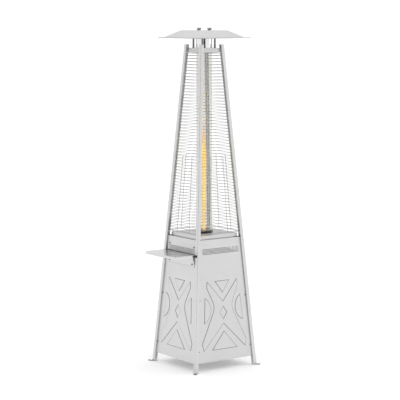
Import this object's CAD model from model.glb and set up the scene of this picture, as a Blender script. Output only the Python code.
import bpy
import bmesh
import math
from mathutils import Matrix, Vector


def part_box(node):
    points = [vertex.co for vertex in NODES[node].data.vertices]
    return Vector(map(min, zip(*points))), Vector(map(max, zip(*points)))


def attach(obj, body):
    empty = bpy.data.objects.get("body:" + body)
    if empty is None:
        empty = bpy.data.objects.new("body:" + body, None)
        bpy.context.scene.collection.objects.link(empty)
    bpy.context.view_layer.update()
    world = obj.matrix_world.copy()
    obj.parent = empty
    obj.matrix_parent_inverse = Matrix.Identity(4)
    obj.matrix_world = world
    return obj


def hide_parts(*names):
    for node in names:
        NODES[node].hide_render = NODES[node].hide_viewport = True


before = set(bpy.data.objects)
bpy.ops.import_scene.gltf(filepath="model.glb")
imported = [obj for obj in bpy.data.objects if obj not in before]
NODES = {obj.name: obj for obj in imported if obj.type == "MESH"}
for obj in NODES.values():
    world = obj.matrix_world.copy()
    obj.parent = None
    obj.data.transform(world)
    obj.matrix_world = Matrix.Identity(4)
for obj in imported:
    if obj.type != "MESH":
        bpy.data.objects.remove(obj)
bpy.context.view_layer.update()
MM = 0.001
SMOOTH_ANGLE = math.radians(40)
scene = bpy.context.scene

# ---------------------------------------------------------------- camera

LENS = 142.13
CAMERA_AT = (-6.1383, -8.4741, 2.3809)
CAMERA_TURN = -35.918
CAMERA_PITCH = -6.95
CAMERA_SHIFT = -0.0104

camera_data = bpy.data.cameras.new("camera")
camera_data.lens = LENS
camera_data.sensor_width = 36.0
camera_data.shift_x = CAMERA_SHIFT
camera_data.clip_end = 400
camera = bpy.data.objects.new("camera", camera_data)
scene.collection.objects.link(camera)
camera.location = CAMERA_AT
camera.rotation_euler = (math.radians(90 + CAMERA_PITCH), 0, math.radians(CAMERA_TURN))
scene.camera = camera
scene.view_settings.view_transform = "Standard"
scene.view_settings.look = "None"

# ---------------------------------------------------------------- light and floor

# Brightness of the surroundings by height: 0 is straight down, 0.5 the horizon, 1 straight up
WORLD_LEVELS = (
    (0.0, 0.7), (0.46, 0.9), (0.5, 1.03), (0.62, 1.0), (0.76, 0.93), (0.88, 1.03), (1.0, 1.12),
)
world = bpy.data.worlds.new("studio")
scene.world = world
world.use_nodes = True
tree = world.node_tree
tree.nodes.clear()
world_out = tree.nodes.new("ShaderNodeOutputWorld")
background = tree.nodes.new("ShaderNodeBackground")
coordinates = tree.nodes.new("ShaderNodeTexCoord")
split = tree.nodes.new("ShaderNodeSeparateXYZ")
spread = tree.nodes.new("ShaderNodeMapRange")
spread.inputs["From Min"].default_value = -1.0
ramp = tree.nodes.new("ShaderNodeValToRGB")
tree.links.new(coordinates.outputs["Generated"], split.inputs[0])
tree.links.new(split.outputs["Z"], spread.inputs["Value"])
tree.links.new(spread.outputs[0], ramp.inputs[0])
tree.links.new(ramp.outputs[0], background.inputs["Color"])
tree.links.new(background.outputs[0], world_out.inputs["Surface"])
stops = ramp.color_ramp.elements
while len(stops) < len(WORLD_LEVELS):
    stops.new(0.5)
for stop, (position, brightness) in zip(stops, WORLD_LEVELS):
    stop.position = position
    stop.color = (brightness, brightness, brightness, 1)


def area_light(name, at, towards, width, height, power):
    """A rectangular softbox aimed at a point."""
    data = bpy.data.lights.new(name, "AREA")
    data.shape = "RECTANGLE"
    data.size = width
    data.size_y = height
    data.energy = power
    light = bpy.data.objects.new(name, data)
    scene.collection.objects.link(light)
    light.location = at
    light.rotation_euler = (Vector(towards) - Vector(at)).to_track_quat("-Z", "Y").to_euler()
    light.visible_camera = False
    return light


area_light("key_right", at=(3.4, -2.2, 2.2), towards=(0, 0, 1.2), width=1.2, height=3.0, power=14)


def stage_sheet(name, corners, material):
    """A flat four-cornered stage piece."""
    mesh = bpy.data.meshes.new(name)
    mesh.from_pydata([Vector(c) for c in corners], [], [(0, 1, 2, 3)])
    sheet = bpy.data.objects.new(name, mesh)
    scene.collection.objects.link(sheet)
    mesh.materials.append(material)
    return sheet


def plain(name, color, roughness, speck=0.02, glow=0.0):
    """A matt stage surface with a faint mottle."""
    material = bpy.data.materials.new(name)
    material.use_nodes = True
    shader = material.node_tree.nodes["Principled BSDF"]
    noise = material.node_tree.nodes.new("ShaderNodeTexNoise")
    noise.inputs["Scale"].default_value = 3.0
    tones = material.node_tree.nodes.new("ShaderNodeValToRGB")
    for stop, tone in zip(tones.color_ramp.elements, (color - speck, color)):
        stop.color = (tone, tone, tone, 1)
    material.node_tree.links.new(noise.outputs["Fac"], tones.inputs[0])
    material.node_tree.links.new(tones.outputs[0], shader.inputs["Base Color"])
    shader.inputs["Roughness"].default_value = roughness
    shader.inputs["Specular IOR Level"].default_value = 0.1
    shader.inputs["Emission Color"].default_value = (1, 1, 1, 1)
    shader.inputs["Emission Strength"].default_value = glow
    return material


QUARTERS = ((-1, -1), (1, -1), (1, 1), (-1, 1))
FLOOR_HALF = 150.0
stage_sheet(
    "floor",
    [(sx * FLOOR_HALF, sy * FLOOR_HALF, 0) for sx, sy in QUARTERS],
    plain("floor_white", 0.93, 0.9, glow=0.17),
)

# A dark card behind the camera, seen only in reflections
CARD_AWAY = 12.5
CARD_HALF = 4.2
CARD_LOW = 0.05
CARD_TOP = 7.0
view = math.radians(-CAMERA_TURN)
card_back = Vector((-math.sin(view), -math.cos(view), 0))
card_along = Vector((math.cos(view), -math.sin(view), 0))
card_points = []
for side, height in ((-1, CARD_LOW), (1, CARD_LOW), (1, CARD_TOP), (-1, CARD_TOP)):
    card_points.append(card_back * CARD_AWAY + card_along * (side * CARD_HALF) + Vector((0, 0, height)))
card = stage_sheet("dark_card", card_points, plain("card_dark", 0.05, 0.9))
card.visible_camera = False
card.visible_diffuse = False
card.visible_shadow = False
card.visible_transmission = False

# ---------------------------------------------------------------- materials


NOISE_LOW = 0.25
NOISE_HIGH = 0.75


class Nodes:
    """Builds one node material."""

    def __init__(self, name):
        self.material = bpy.data.materials.new(name)
        self.material.use_nodes = True
        self.tree = self.material.node_tree
        self.shader = self.tree.nodes["Principled BSDF"]

    def add(self, kind, **inputs):
        node = self.tree.nodes.new(kind)
        for key, value in inputs.items():
            node.inputs[key.replace("_", " ")].default_value = value
        return node

    def link(self, source, target):
        self.tree.links.new(source, target)

    def noise(self, scale, stretch=(1, 1, 1), detail=3.0, roughness=0.55):
        """Noise in the row's frame, stretched by a scale along each axis."""
        place = self.add("ShaderNodeTexCoord")
        mapping = self.add("ShaderNodeMapping")
        mapping.inputs["Scale"].default_value = stretch
        noise = self.add("ShaderNodeTexNoise", Scale=scale, Detail=detail, Roughness=roughness)
        self.link(place.outputs["Object"], mapping.inputs["Vector"])
        self.link(mapping.outputs[0], noise.inputs["Vector"])
        return noise.outputs["Fac"]

    def tones(self, value, low, high, start=0.3, end=0.7):
        """A colour that runs from low to high with a value."""
        ramp = self.add("ShaderNodeValToRGB")
        ramp.color_ramp.elements[0].position = start
        ramp.color_ramp.elements[1].position = end
        ramp.color_ramp.elements[0].color = (*low, 1)
        ramp.color_ramp.elements[1].color = (*high, 1)
        self.link(value, ramp.inputs[0])
        return ramp.outputs[0]

    def span(self, value, low, high):
        """A noise value, mostly between the two noise limits, remapped to run from low to high."""
        spread = self.add("ShaderNodeMapRange")
        spread.inputs["From Min"].default_value = NOISE_LOW
        spread.inputs["From Max"].default_value = NOISE_HIGH
        spread.inputs["To Min"].default_value = low
        spread.inputs["To Max"].default_value = high
        self.link(value, spread.inputs["Value"])
        return spread.outputs[0]

    def bump(self, value, strength, distance, under=None):
        """A normal bumped by a value, over another bump if one is given."""
        bump = self.add("ShaderNodeBump", Strength=strength, Distance=distance)
        self.link(value, bump.inputs["Height"])
        if under is not None:
            self.link(under, bump.inputs["Normal"])
        return bump.outputs[0]

    def multiplied(self, first, second, share):
        """The first colour, multiplied by the second by a share."""
        mix = self.add("ShaderNodeMix")
        mix.data_type = "RGBA"
        mix.blend_type = "MULTIPLY"
        mix.inputs["Factor"].default_value = share
        self.link(first, mix.inputs["A"])
        self.link(second, mix.inputs["B"])
        return mix.outputs["Result"]


def grey(level, blue=0.0):
    """A grey, with a little extra blue."""
    return (level, level, level + blue)


# Noise scale along each axis: low along the brushing and high across it; "" is unbrushed
GRAIN = {"x": (14, 1600, 1600), "y": (1600, 14, 1600), "z": (1600, 1600, 14), "": (900, 900, 900)}


def metal(name, color, roughness, grain="z", contrast=0.06, spread=0.06, bump=0.06):
    """Brushed metal: fine grain along an axis, with slow smudges in tone and gloss."""
    n = Nodes(name)
    lines = n.noise(1.0, GRAIN[grain], detail=4.0)
    smudge = n.noise(7.0, detail=4.0, roughness=0.6)
    low = tuple(c * (1 - contrast) for c in color)
    high = tuple(min(1, c * (1 + contrast)) for c in color)
    brushed = n.tones(lines, low, high)
    mottled = n.tones(smudge, grey(0.95), grey(1.0))
    n.link(n.multiplied(brushed, mottled, 0.8), n.shader.inputs["Base Color"])
    n.shader.inputs["Metallic"].default_value = 1.0
    gloss = n.add("ShaderNodeMath")
    gloss.operation = "ADD"
    n.link(n.span(lines, roughness - spread, roughness + spread), gloss.inputs[0])
    n.link(n.span(smudge, -0.03, 0.04), gloss.inputs[1])
    n.link(gloss.outputs[0], n.shader.inputs["Roughness"])
    ripple = n.bump(smudge, 0.02, 0.0006)
    n.link(n.bump(lines, bump, 0.00005, ripple), n.shader.inputs["Normal"])
    return n.material


def coated(name, color, roughness, metallic=0.0):
    """Paint, plastic or rubber with a fine moulded grain and slight wear."""
    n = Nodes(name)
    grain = n.noise(700.0, detail=5.0)
    wear = n.noise(25.0, detail=5.0)
    low = tuple(c * 0.8 for c in color)
    high = tuple(min(1, c * 1.35 + 0.01) for c in color)
    n.link(n.tones(wear, low, high), n.shader.inputs["Base Color"])
    n.shader.inputs["Metallic"].default_value = metallic
    n.link(n.span(wear, roughness - 0.08, roughness + 0.1), n.shader.inputs["Roughness"])
    n.link(n.bump(grain, 0.25, 0.0002), n.shader.inputs["Normal"])
    return n.material


def clear_glass(name):
    """Borosilicate tube: almost clear, with a slow waviness and a very faint haze."""
    n = Nodes(name)
    wave = n.noise(9.0, (1, 1, 0.2), detail=2.0)
    haze = n.noise(60.0, (1, 1, 0.3), detail=4.0)
    n.shader.inputs["Base Color"].default_value = (0.86, 0.845, 0.82, 1)
    n.shader.inputs["Transmission Weight"].default_value = 1.0
    n.shader.inputs["IOR"].default_value = 1.47
    n.link(n.span(haze, 0.0, 0.012), n.shader.inputs["Roughness"])
    n.link(n.bump(wave, 0.004, 0.0002), n.shader.inputs["Normal"])
    return n.material


def flame_material(name, low, high, strength, cover):
    """Glowing gas: colour and density follow a rising noise."""
    n = Nodes(name)
    lick = n.noise(34.0, (1, 1, 0.22), detail=4.0, roughness=0.6)
    color = n.tones(lick, low, high, 0.35, 0.62)
    glow = n.add("ShaderNodeEmission", Strength=strength)
    clear = n.add("ShaderNodeBsdfTransparent")
    mix = n.add("ShaderNodeMixShader")
    n.link(color, glow.inputs["Color"])
    n.link(n.span(lick, *cover), mix.inputs["Fac"])
    n.link(clear.outputs[0], mix.inputs[1])
    n.link(glow.outputs[0], mix.inputs[2])
    n.link(mix.outputs[0], n.tree.nodes["Material Output"].inputs["Surface"])
    n.tree.nodes.remove(n.shader)
    return n.material


LEG = metal("leg_steel", grey(0.64, 0.005), 0.24, "z", bump=0.05)
EDGE = metal("pressed_edge_steel", grey(0.12), 0.30, "z", contrast=0.05, bump=0.03)
PANEL = {
    "front": metal("panel_steel_front", grey(0.63, 0.005), 0.36, "x"),
    "back": metal("panel_steel_back", grey(0.63, 0.005), 0.36, "x"),
    "left": metal("panel_steel_left", grey(0.66, 0.005), 0.36, "y"),
    "right": metal("panel_steel_right", grey(0.66, 0.005), 0.36, "y"),
}
TRAY = metal("tray_steel", grey(0.62), 0.34, "x")
CROWN = metal("top_plate_steel", grey(0.55), 0.34, "x")
SCREW = metal("screw_steel", grey(0.26), 0.30, "", contrast=0.1)
FOOT = metal("foot_steel", grey(0.25), 0.42, "", contrast=0.12, bump=0.15)
WIRE = metal("guard_wire_steel", grey(0.34), 0.30, "", contrast=0.05, bump=0.04)
CHROME = metal("polished_collar_steel", grey(0.78), 0.12, "z", contrast=0.02, spread=0.02, bump=0.01)
REFLECTOR = metal("reflector_aluminium", grey(0.70), 0.34, "x", contrast=0.04)
BRIGHT = metal("bright_fastener_steel", grey(0.60), 0.26, "", contrast=0.08, bump=0.05)
POST = metal("post_steel", grey(0.26), 0.20, "z", contrast=0.06)
SHELF = metal("shelf_steel", grey(0.66), 0.28, "y")
INNER = metal("inner_galvanised_steel", grey(0.55), 0.45, "", contrast=0.14, bump=0.08)
BLACK_STEEL = coated("black_heatproof_paint", (0.018, 0.018, 0.018), 0.5)
DARK_STEEL = coated("dark_bolt_steel", (0.07, 0.07, 0.075), 0.38, metallic=0.9)
BLACK_PLASTIC = coated("black_moulded_plastic", (0.022, 0.022, 0.025), 0.42)
BRASS = metal("turned_brass", (0.70, 0.52, 0.26), 0.28, "", contrast=0.1)
COPPER = metal("drawn_copper", (0.66, 0.40, 0.26), 0.32, "", contrast=0.12)
LEAD = coated("red_silicone_sleeve", (0.36, 0.05, 0.035), 0.55)
GLASS = clear_glass("borosilicate_glass")

LOOKS = {
    "leg_joiners": INNER,
    "front_panel": PANEL["front"],
    "right_panel": PANEL["right"],
    "left_panel": PANEL["left"],
    "door_panel": PANEL["back"],
    "control_panel": PANEL["back"],
    "base_plate": INNER,
    "heat_shield": INNER,
    "burner_tray": TRAY,
    "burner_body": INNER,
    "burner_head": INNER,
    "gas_jet": BRASS,
    "valve_bracket": INNER,
    "valve_body": BRASS,
    "valve_plunger": BRASS,
    "valve_stem": BRASS,
    "gas_pipe": COPPER,
    "pilot_tube": COPPER,
    "thermocouple": COPPER,
    "ignition_lead": LEAD,
    "control_knob": BLACK_PLASTIC,
    "igniter_body": BLACK_PLASTIC,
    "igniter_button": BLACK_PLASTIC,
    "tilt_switch": BLACK_PLASTIC,
    "magnet_catch": BLACK_PLASTIC,
    "catch_plate": INNER,
    "hinge_leaves": BRIGHT,
    "door_knuckles": BRIGHT,
    "door_handle": BRIGHT,
    "panel_screws": SCREW,
    "glass_seat": BLACK_STEEL,
    "glass_tube": GLASS,
    "collar": CHROME,
    "top_plate": CROWN,
    "reflector_posts": POST,
    "reflector_carrier": INNER,
    "reflector": REFLECTOR,
    "wing_nuts": SCREW,
    "shelf_top": SHELF,
    "shelf_bracket": SHELF,
    "shelf_pivots": DARK_STEEL,
    "shelf_spacers": BRIGHT,
    "bracket_bolts": SCREW,
}
LOOKS_BY_START = {"lower_leg": LEG, "upper_leg": LEG, "foot_": FOOT, "guard_": WIRE}
for name, node in NODES.items():
    look = LOOKS.get(name)
    for start, start_look in LOOKS_BY_START.items():
        if name.startswith(start):
            look = start_look
    if not node.material_slots:
        node.data.materials.append(look)
    for material_slot in node.material_slots:
        material_slot.material = look

# ---------------------------------------------------------------- the pyramid's faces

SIDES = ("front", "right", "back", "left")
FOOT_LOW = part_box("lower_leg_front_left")[0].z
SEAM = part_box("upper_leg_front_left")[0].z
FOOT_HALF = -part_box("lower_leg_front_left")[0].x
SEAM_HALF = -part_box("upper_leg_front_left")[0].x
LEAN = (FOOT_HALF - SEAM_HALF) / (SEAM - FOOT_LOW)
BASE_HALF = FOOT_HALF + LEAN * FOOT_LOW
TILT = math.atan(LEAN)
LEG_WIDTH = 25 * MM


def clear_half(z):
    """Half the gap between two legs at height z."""
    return BASE_HALF - LEAN * z - LEG_WIDTH


def rise(z, inset):
    """The distance up a face that reaches height z."""
    return (z + inset * math.sin(TILT)) / math.cos(TILT)


def face_matrix(side, inset):
    """From a leaning face's own axes to the row's frame: x along, y up the slope, z out."""
    turn = math.radians(90 * SIDES.index(side))
    out = Vector((math.sin(turn), -math.cos(turn), 0))
    along = Vector((math.cos(turn), math.sin(turn), 0))
    normal = out * math.cos(TILT) + Vector((0, 0, math.sin(TILT)))
    up = normal.cross(along)
    origin = out * BASE_HALF - normal * inset
    return Matrix((
        (along.x, up.x, normal.x, origin.x),
        (along.y, up.y, normal.y, origin.y),
        (along.z, up.z, normal.z, origin.z),
        (0, 0, 0, 1),
    ))


def finish_piece(name, bm, material, body="heater", replaced=(), extra=()):
    """Makes an object of a bmesh and gives it its materials, body, slot and replaced nodes."""
    mesh = bpy.data.meshes.new(name)
    bmesh.ops.recalc_face_normals(bm, faces=bm.faces)
    bm.to_mesh(mesh)
    bm.free()
    piece = bpy.data.objects.new(name, mesh)
    scene.collection.objects.link(piece)
    indices = [polygon.material_index for polygon in mesh.polygons]
    mesh.materials.clear()
    for look in (material, *extra):
        mesh.materials.append(look)
    for polygon, index in zip(mesh.polygons, indices):
        polygon.material_index = min(index, len(extra))
    mesh.shade_smooth()
    mesh.set_sharp_from_angle(angle=SMOOTH_ANGLE)
    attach(piece, body)
    if replaced:
        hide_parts(*replaced)


# ---------------------------------------------------------------- wire guards

GUARD_INSET = 13.0 * MM
WIRE_R = 1.5 * MM
WIRE_SIDES = 8
GUARD_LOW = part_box("guard_front")[0].z
GUARD_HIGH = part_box("guard_front")[1].z
GUARD_FIRST = 0.906
GUARD_PITCH = 0.020
GUARD_ROWS = 59
GUARD_MID = 1.400
GUARD_GAP = 1.2 * MM
UPRIGHT_SHARE = 0.42
CORNER = 12 * MM
CORNER_STEPS = 5
RAIL_R = WIRE_R * 0.93


def tube(bm, path, radius, sides=WIRE_SIDES, closed=False):
    """A round wire along a path, with flat ends."""
    rings = []
    count = len(path)
    for i, point in enumerate(path):
        before = path[i - 1] if (i or closed) else path[i]
        after = path[(i + 1) % count] if (i < count - 1 or closed) else path[i]
        into = (point - before).normalized() if point != before else (after - point).normalized()
        away = (after - point).normalized() if after != point else into
        tangent = (into + away).normalized()
        swell = 1 / max(0.5, tangent.dot(into))
        flat = tangent.cross(Vector((0, 0, 1))).normalized()
        ring = []
        for k in range(sides):
            angle = math.tau * k / sides
            across = flat * math.cos(angle) * radius * swell
            ring.append(bm.verts.new(point + across + Vector((0, 0, 1)) * math.sin(angle) * radius))
        rings.append(ring)
    spans = count if closed else count - 1
    for i in range(spans):
        first, second = rings[i], rings[(i + 1) % count]
        for k in range(sides):
            after = (k + 1) % sides
            bm.faces.new((first[k], first[after], second[after], second[k]))
    if not closed:
        bm.faces.new(rings[0])
        bm.faces.new(rings[-1])


def arc(centre, radius, start, end):
    """Points round a corner, in a face's own axes."""
    points = []
    for i in range(CORNER_STEPS + 1):
        angle = math.radians(start + (end - start) * i / CORNER_STEPS)
        points.append(Vector((
            centre[0] + radius * math.cos(angle),
            centre[1] + radius * math.sin(angle),
            0,
        )))
    return points


def edge_u(v_height, share=1.0):
    """Where a frame wire or an upright stands at a height."""
    if share == 1.0:
        return clear_half(v_height) - GUARD_GAP - WIRE_R
    return share * clear_half(v_height)


for side in SIDES:
    bm = bmesh.new()
    low = GUARD_LOW + WIRE_R
    high = GUARD_HIGH - WIRE_R
    bottom = rise(low, GUARD_INSET)
    top = rise(high, GUARD_INSET)
    right_low = edge_u(low)
    bend = edge_u(high - CORNER)
    frame_path = [Vector((-right_low, bottom, 0)), Vector((right_low, bottom, 0))]
    frame_path += arc((bend - CORNER, top - CORNER), CORNER, 4, 90)
    frame_path += arc((-bend + CORNER, top - CORNER), CORNER, 90, 176)
    tube(bm, frame_path, WIRE_R, closed=True)
    for row in range(GUARD_ROWS):
        z = GUARD_FIRST + GUARD_PITCH * row
        end = edge_u(z)
        v = rise(z, GUARD_INSET)
        if v > top - CORNER:
            end -= CORNER - math.sqrt(max(0.0, CORNER**2 - (v - top + CORNER) ** 2))
        ends = [Vector((-end, v, 0)), Vector((end, v, 0))]
        tube(bm, ends, RAIL_R)
    mid = GUARD_FIRST + GUARD_PITCH * math.ceil((GUARD_MID - GUARD_FIRST) / GUARD_PITCH)
    mid_v = rise(mid, GUARD_INSET)
    stand = edge_u(mid, UPRIGHT_SHARE)
    loop = [Vector((-edge_u(low, UPRIGHT_SHARE), bottom, 0))]
    loop += reversed(arc((-stand + CORNER, mid_v - CORNER), CORNER, 90, 180))
    loop += reversed(arc((stand - CORNER, mid_v - CORNER), CORNER, 0, 90))
    loop.append(Vector((edge_u(low, UPRIGHT_SHARE), bottom, 0)))
    tube(bm, loop, WIRE_R)
    bm.transform(face_matrix(side, GUARD_INSET))
    finish_piece(f"wire_guard_{side}", bm, WIRE, replaced=[f"guard_{side}"])

# ---------------------------------------------------------------- pressed panels

PANEL_INSET = 10 * MM
SHEET = 1.2 * MM
RELIEF = 1.5 * MM
SLOPE = 3.2 * MM
FLAT_RISE = 0.02 * MM
LEVEL = 1e-6
PANEL_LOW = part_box("front_panel")[0].z
PANEL_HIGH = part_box("front_panel")[1].z
PANEL_GAP = 0.6 * MM
FLANGE = 20 * MM
FLANGE_IN = 20 * MM
FLANGE_EASE = 0.3 * MM
TOP_FLANGE_HALF = 145 * MM
SCREW_HEIGHTS = (0.138, 0.475)
SCREW_IN = 6.5 * MM
SCREW_HOLE = 2.6 * MM
SHEET_EASE = 0.15 * MM
VENT_HEIGHT = 0.788
VENT_PITCH = 8 * MM
VENT_HOLE = 2.75 * MM
VENT_GRID = (37, 5)
# The pressed pattern, in millimetres across and up the panel's face
CROSS_SIDE = ((121, 593), (127, 552), (64, 420), (181, 185), (169, 139))
CROSS_RADII = (30, 90, 14)
CROSS_TOP_NOTCH = (0, 453)
CROSS_LOW_NOTCH = (0, 308)
DIAMOND = [(0, 421), (29, 380), (0, 336), (-29, 380)]
UPPER_TRIANGLE = [(-57, 591), (57, 591), (0, 513)]
LOWER_TRIANGLE = [(-102, 138), (102, 138), (0, 255)]
LEAF = ((144, 487), (99, 401), (157, 319))
FILLET_STEPS = 10
LEAF_STEPS = 14
HOLE_STEPS = 14


def rounded_corner(before, corner, after, radius):
    """The points of a fillet between two runs, in millimetres."""
    b, c, a = Vector(before), Vector(corner), Vector(after)
    into = (b - c).normalized()
    away = (a - c).normalized()
    half = into.angle(away) / 2
    reach = radius / math.tan(half)
    middle = (into + away).normalized()
    centre = c + middle * (radius / math.sin(half))
    start = c + into * reach - centre
    end = c + away * reach - centre
    sweep = start.angle_signed(end)
    points = []
    for i in range(FILLET_STEPS + 1):
        turn = -sweep * i / FILLET_STEPS
        points.append(centre + Matrix.Rotation(turn, 2) @ start)
    return points


def cross_side(sign):
    """One curved side of the cross pattern, from top to bottom."""
    points = [Vector(CROSS_SIDE[0])]
    for i, radius in enumerate(CROSS_RADII):
        points += rounded_corner(CROSS_SIDE[i], CROSS_SIDE[i + 1], CROSS_SIDE[i + 2], radius)
    points.append(Vector(CROSS_SIDE[-1]))
    return [(sign * p.x, p.y) for p in points]


def leaf_edge(sign):
    """The bowed side of a leaf, on the circle through its three points."""
    a, b, c = (Vector((sign * u, v)) for u, v in LEAF)
    aa, bb, cc = a.length_squared, b.length_squared, c.length_squared
    d = 2 * (a.x * (b.y - c.y) + b.x * (c.y - a.y) + c.x * (a.y - b.y))
    ux = (aa * (b.y - c.y) + bb * (c.y - a.y) + cc * (a.y - b.y)) / d
    uy = (aa * (c.x - b.x) + bb * (a.x - c.x) + cc * (b.x - a.x)) / d
    centre = Vector((ux, uy))
    start = math.atan2(a.y - uy, a.x - ux)
    end = math.atan2(c.y - uy, c.x - ux)
    if sign > 0:
        start %= math.tau
        end %= math.tau
    radius = (a - centre).length
    points = []
    for i in range(LEAF_STEPS + 1):
        angle = start + (end - start) * i / LEAF_STEPS
        points.append((centre.x + radius * math.cos(angle), centre.y + radius * math.sin(angle)))
    return points


def relief_outlines():
    """The outlines of each raised field; the diamond is a flat island in the cross."""
    cross = cross_side(1) + [CROSS_LOW_NOTCH] + cross_side(-1)[::-1] + [CROSS_TOP_NOTCH]
    return [[cross, DIAMOND], [UPPER_TRIANGLE], [LOWER_TRIANGLE], [leaf_edge(-1)], [leaf_edge(1)]]


def filled_mesh(name, loops, extrude, bevel, offset, resolution):
    """A flat sheet filled inside closed loops, with its edges rounded."""
    curve = bpy.data.curves.new(name, "CURVE")
    curve.dimensions = "2D"
    curve.fill_mode = "BOTH"
    curve.extrude = extrude
    curve.bevel_depth = bevel
    curve.bevel_resolution = resolution
    curve.offset = offset
    for loop in loops:
        spline = curve.splines.new("POLY")
        spline.points.add(len(loop) - 1)
        for point, (x, y) in zip(spline.points, loop):
            point.co = (x, y, 0, 1)
        spline.use_cyclic_u = True
    holder = bpy.data.objects.new(name, curve)
    scene.collection.objects.link(holder)
    bpy.context.view_layer.update()
    mesh = bpy.data.meshes.new_from_object(holder)
    bpy.data.objects.remove(holder)
    return mesh


def circle(x, y, radius):
    """The points of a round hole."""
    angles = [math.tau * i / HOLE_STEPS for i in range(HOLE_STEPS)]
    return [(x + radius * math.cos(angle), y + radius * math.sin(angle)) for angle in angles]


def add_mesh(bm, mesh):
    """Adds a mesh's faces to a bmesh and removes the mesh."""
    bm.from_mesh(mesh)
    bpy.data.meshes.remove(mesh)


def add_relief(bm):
    """The pressed pattern: each raised field with a soft shoulder."""
    for outlines in relief_outlines():
        loops = [[(u * MM, v * MM) for u, v in outline] for outline in outlines]
        mesh = filled_mesh("relief", loops, 0.0, bevel=SLOPE, offset=-SLOPE / 2, resolution=4)
        # The round bevel gives the rings of the shoulder; each ring takes its height on a soft step
        for vertex in mesh.vertices:
            lift = min(1.0, max(0.0, vertex.co.z / SLOPE))
            share = 1 - math.sqrt(max(0.0, 1 - lift * lift))
            height = 0.5 - 0.5 * math.cos(math.pi * share) if share < 1 else 1.0
            vertex.co.z = height * RELIEF if vertex.co.z > LEVEL else -SHEET / 2
        for polygon in mesh.polygons:
            heights = [mesh.vertices[i].co.z for i in polygon.vertices]
            polygon.material_index = 1 if max(heights) - min(heights) > FLAT_RISE else 0
        add_mesh(bm, mesh)


def box_between(bm, low, high, bevel):
    """A block with eased edges."""
    centre = (Vector(low) + Vector(high)) / 2
    size = Vector(high) - Vector(low)
    place = Matrix.Translation(centre) @ Matrix.Diagonal((*size, 1))
    made = bmesh.ops.create_cube(bm, size=1.0, matrix=place)
    edges = {e for v in made["verts"] for e in v.link_edges}
    bmesh.ops.bevel(bm, geom=list(edges), offset=bevel, segments=2, affect="EDGES")


for side in ("front", "right", "left"):
    bottom_half = clear_half(PANEL_LOW) - PANEL_GAP
    top_half = clear_half(PANEL_HIGH) - PANEL_GAP
    bottom = rise(PANEL_LOW, PANEL_INSET)
    top = rise(PANEL_HIGH, PANEL_INSET)
    loops = [[(-bottom_half, bottom), (bottom_half, bottom), (top_half, top), (-top_half, top)]]
    vent_v = rise(VENT_HEIGHT, PANEL_INSET)
    for column in range(VENT_GRID[0]):
        for row in range(VENT_GRID[1]):
            u = (column - (VENT_GRID[0] - 1) / 2) * VENT_PITCH
            v = vent_v + (row - (VENT_GRID[1] - 1) / 2) * VENT_PITCH
            loops.append(circle(u, v, VENT_HOLE))
    for z in SCREW_HEIGHTS:
        across = clear_half(z) - SCREW_IN
        for sign in (-1, 1):
            loops.append(circle(sign * across, rise(z, PANEL_INSET), SCREW_HOLE))
    bm = bmesh.new()
    sheet_mesh = filled_mesh(
        "sheet", loops, SHEET / 2 - SHEET_EASE, bevel=SHEET_EASE, offset=-SHEET_EASE, resolution=1
    )
    sheet_mesh.transform(Matrix.Translation((0, 0, -SHEET / 2)))
    add_mesh(bm, sheet_mesh)
    add_relief(bm)
    for v, half in ((bottom, bottom_half - FLANGE_IN), (top - SHEET, TOP_FLANGE_HALF)):
        box_between(bm, (-half, v, -FLANGE), (half, v + SHEET, -SHEET * 0.5), FLANGE_EASE)
    bm.transform(face_matrix(side, PANEL_INSET))
    finish_piece(
        f"pressed_panel_{side}", bm, PANEL[side], replaced=[f"{side}_panel"], extra=[EDGE]
    )

# ---------------------------------------------------------------- shelf and its bracket

BRACKET_HALF = 158 * MM
BRACKET_HEIGHT = 0.729
BRACKET_TALL = 74 * MM
BRACKET_BACK = 0.1 * MM
BRACKET_PLATE = 2 * MM
BRACKET_EASE = 1.6 * MM
PIVOT = Vector((-0.207, 0, 0.763))
EAR = 2 * MM
EAR_R = 7 * MM
EAR_EASE = 0.4 * MM
EAR_LOW = 0.700
EAR_HIGH = 0.770
EAR_WALL_HIGH = 0.766
EAR_OFF_WALL_LOW = 1.5 * MM
EAR_OFF_WALL_HIGH = 1.0 * MM
EAR_STEPS = 6
SHELF_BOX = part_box("shelf_top")
TRIM_R = 2.0 * MM
TRIM_SIDES = 10
TRIM_OUT = 0.6
TRIM_UP = 0.2
TRIM_SHORT = 3 * MM
BRACKET_EDGE = metal("bracket_edge_steel", grey(0.30), 0.3, "y", contrast=0.05)


def prism(bm, outline, low, high, bevel):
    """A plate between two levels of its own z, with its edges eased and marked as edge faces."""
    below = [bm.verts.new((x, y, low)) for x, y in outline]
    above = [bm.verts.new((x, y, high)) for x, y in outline]
    top_face = bm.faces.new(above)
    bm.faces.new(below[::-1])
    count = len(outline)
    for k in range(count):
        bm.faces.new((below[k], below[(k + 1) % count], above[(k + 1) % count], above[k]))
    made = bmesh.ops.bevel(bm, geom=list(top_face.edges), offset=bevel, segments=2, affect="EDGES")
    for rounded in made["faces"]:
        rounded.material_index = 1


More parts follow.
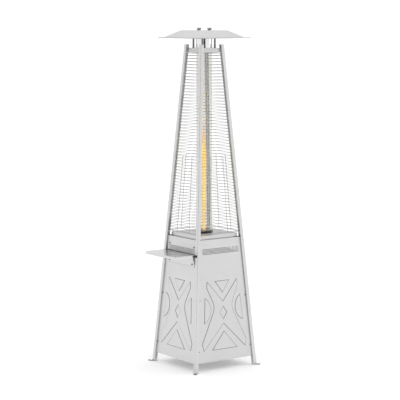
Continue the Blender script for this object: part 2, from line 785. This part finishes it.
bm = bmesh.new()
middle = rise(BRACKET_HEIGHT, PANEL_INSET)
plate = [(sx * BRACKET_HALF, middle + sy * BRACKET_TALL / 2) for sx, sy in QUARTERS]
prism(bm, plate, BRACKET_BACK, BRACKET_BACK + BRACKET_PLATE, BRACKET_EASE)
bm.transform(face_matrix("left", PANEL_INSET))
for sign in (-1, 1):
    ear = bmesh.new()
    wall_low = -(BASE_HALF - LEAN * EAR_LOW - PANEL_INSET) - EAR_OFF_WALL_LOW
    wall_high = -(BASE_HALF - LEAN * EAR_WALL_HIGH - PANEL_INSET) - EAR_OFF_WALL_HIGH
    profile = [(wall_low, EAR_LOW), (wall_high, EAR_HIGH), (PIVOT.x, EAR_HIGH)]
    for i in range(EAR_STEPS + 1):
        angle = math.radians(90 + 180 * i / EAR_STEPS)
        profile.append((PIVOT.x + EAR_R * math.cos(angle), PIVOT.z + EAR_R * math.sin(angle)))
    prism(ear, profile, 0, EAR, EAR_EASE)
    stand = Matrix(((1, 0, 0, 0), (0, 0, -sign, sign * BRACKET_HALF), (0, 1, 0, 0), (0, 0, 0, 1)))
    ear.transform(stand)
    ear_mesh = bpy.data.meshes.new("ear")
    ear.to_mesh(ear_mesh)
    ear.free()
    add_mesh(bm, ear_mesh)

# A guessed dark strip along the shelf's inner edge, where the photo shows a dark line
trim = bmesh.new()
trim_at = Vector((SHELF_BOX[1].x + TRIM_R * TRIM_OUT, 0, SHELF_BOX[1].z + TRIM_R * TRIM_UP))
trim_half = Vector((0, SHELF_BOX[1].y - TRIM_SHORT, 0))
trim_path = [trim_at + trim_half * share for share in (-1, -0.5, 0.5, 1)]
tube(trim, trim_path, TRIM_R, TRIM_SIDES)
finish_piece("shelf_edge_trim", trim, DARK_STEEL, body="shelf")
finish_piece("folded_bracket", bm, SHELF, replaced=["shelf_bracket"], extra=[BRACKET_EDGE])

# ---------------------------------------------------------------- reflector

REFLECTOR_SHEET = 1.2 * MM
REFLECTOR_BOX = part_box("reflector")
RIM_HALF = REFLECTOR_BOX[1].x
RIM_Z = REFLECTOR_BOX[0].z + REFLECTOR_SHEET
CROWN_Z = REFLECTOR_BOX[1].z
BRIM_HALF = RIM_HALF - 30 * MM
CROWN_HALF = 111 * MM
LIP = 5 * MM
FOLD_R = 1.6 * MM
LIP_TILT = 0.3
RIM_EDGE = metal("reflector_rim_edge", grey(0.42), 0.34, "x", contrast=0.05)


def square_rings(bm, levels):
    """Square rings joined into a shell and closed by the last one."""
    rings = []
    for half, z in levels:
        rings.append([bm.verts.new((sx * half, sy * half, z)) for sx, sy in QUARTERS])
    for first, second in zip(rings, rings[1:]):
        for k in range(4):
            bm.faces.new((first[k], first[(k + 1) % 4], second[(k + 1) % 4], second[k]))
    bm.faces.new(rings[-1])


bm = bmesh.new()
square_rings(bm, (
    (RIM_HALF, RIM_Z - LIP),
    (RIM_HALF, RIM_Z),
    (BRIM_HALF, RIM_Z),
    (CROWN_HALF, CROWN_Z),
))
creases = [e for e in bm.edges if len(e.link_faces) == 2]
bmesh.ops.bevel(bm, geom=creases, offset=FOLD_R, segments=3, profile=0.5, affect="EDGES")
for bevelled in bm.faces:
    bevelled.material_index = 1 if abs(bevelled.normal.z) < LIP_TILT else 0
bmesh.ops.recalc_face_normals(bm, faces=bm.faces)
if sum(f.normal.z * f.calc_area() for f in bm.faces) < 0:
    bmesh.ops.reverse_faces(bm, faces=bm.faces)
bmesh.ops.solidify(bm, geom=bm.faces[:], thickness=REFLECTOR_SHEET)
finish_piece("folded_reflector", bm, REFLECTOR, replaced=["reflector"], extra=[RIM_EDGE])

# ---------------------------------------------------------------- door pan

DOOR_DEPTH = 12 * MM
DOOR_LOW = 0.068
DOOR_HIGH = 0.686
HINGE_ROOM = 8 * MM
DOOR_GAP = 2 * MM
DOOR_EASE = 1.1 * MM


def door_outline(grow):
    """The door's corners on its face; the hinge edge leaves room for the barrels."""
    low = DOOR_LOW - grow
    high = DOOR_HIGH + grow
    return (
        (-clear_half(low) + HINGE_ROOM - grow, rise(low, PANEL_INSET)),
        (clear_half(low) - DOOR_GAP + grow, rise(low, PANEL_INSET)),
        (clear_half(high) - DOOR_GAP + grow, rise(high, PANEL_INSET)),
        (-clear_half(high) + HINGE_ROOM - grow, rise(high, PANEL_INSET)),
    )


bm = bmesh.new()
outside = [bm.verts.new((u, v, 0)) for u, v in door_outline(0)]
outside_back = [bm.verts.new((u, v, -DOOR_DEPTH)) for u, v in door_outline(0)]
inside_back = [bm.verts.new((u, v, -DOOR_DEPTH)) for u, v in door_outline(-SHEET)]
inside = [bm.verts.new((u, v, -SHEET)) for u, v in door_outline(-SHEET)]
front_face = bm.faces.new(outside)
bm.faces.new(inside)
for first, second in ((outside, outside_back), (outside_back, inside_back), (inside_back, inside)):
    for k in range(4):
        bm.faces.new((first[k], first[(k + 1) % 4], second[(k + 1) % 4], second[k]))
bmesh.ops.bevel(bm, geom=list(front_face.edges), offset=DOOR_EASE, segments=3, profile=0.5, affect="EDGES")
bmesh.ops.recalc_face_normals(bm, faces=bm.faces)
add_relief(bm)
bm.transform(face_matrix("back", PANEL_INSET))
finish_piece(
    "pressed_door", bm, PANEL["back"], body="door", replaced=["door_panel"], extra=[EDGE]
)

# ---------------------------------------------------------------- flame

FLAME_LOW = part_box("burner_head")[1].z + 2 * MM
FLAME_TOP = 1.62
CORE_TOP = 1.58
FLAME_STEPS = 46
FLAME_SIDES = 16
FLAME_WOBBLE = 0.35


def flame_tongue(bm, low, high, radius, lean, phase):
    """A closed rising tongue, thick low down and drawn to a point."""
    rings = []
    for i in range(FLAME_STEPS + 1):
        t = i / FLAME_STEPS
        z = low + (high - low) * t
        swell = (0.62 + 0.55 * math.sin(math.pi * t**2.2)) * (1 - t**6) + 0.02
        drift = lean * math.sin(t * 5.2 + phase) * t
        sway = lean * math.cos(t * 4.1 + phase * 1.7) * t
        ring = []
        for k in range(FLAME_SIDES):
            angle = math.tau * k / FLAME_SIDES
            ripple = 1 + FLAME_WOBBLE * 0.5 * math.sin(2 * angle + t * 11 + phase)
            ripple += FLAME_WOBBLE * 0.3 * math.sin(3 * angle - t * 17 + 2 * phase)
            r = radius * swell * ripple
            ring.append(bm.verts.new((drift + r * math.cos(angle), sway + r * math.sin(angle), z)))
        rings.append(ring)
    for first, second in zip(rings, rings[1:]):
        for k in range(FLAME_SIDES):
            after = (k + 1) % FLAME_SIDES
            bm.faces.new((first[k], first[after], second[after], second[k]))
    bm.faces.new(rings[0])
    bm.faces.new(rings[-1])


# Name, tongues (low and high in metres, radius and lean in millimetres, phase), the dark and
# the light colour, strength, and how dense the glow is
FLAMES = (
    (
        "flame_outer",
        ((FLAME_LOW, FLAME_TOP, 16, 5, 0.4),),
        (1.0, 0.36, 0.015),
        (1.0, 0.66, 0.06),
        1.15,
        (0.05, 0.65),
    ),
    (
        "flame_core",
        ((FLAME_LOW, CORE_TOP, 10, 4, 0.4),),
        (1.0, 0.66, 0.06),
        (1.0, 0.90, 0.30),
        1.45,
        (0.15, 0.85),
    ),
    (
        "flame_flecks",
        ((1.60, 1.68, 6, 5, 1.9), (1.70, 1.76, 5, 6, 3.1), (1.79, 1.83, 4, 5, 4.6)),
        (1.0, 0.62, 0.16),
        (1.0, 0.85, 0.42),
        1.2,
        (0.1, 0.6),
    ),
)
for flame_name, tongues, low_color, high_color, strength, cover in FLAMES:
    bm = bmesh.new()
    for low, high, radius, lean, phase in tongues:
        flame_tongue(bm, low, high, radius * MM, lean * MM, phase)
    glow = flame_material(flame_name + "_gas", low_color, high_color, strength, cover)
    finish_piece(flame_name, bm, glow)
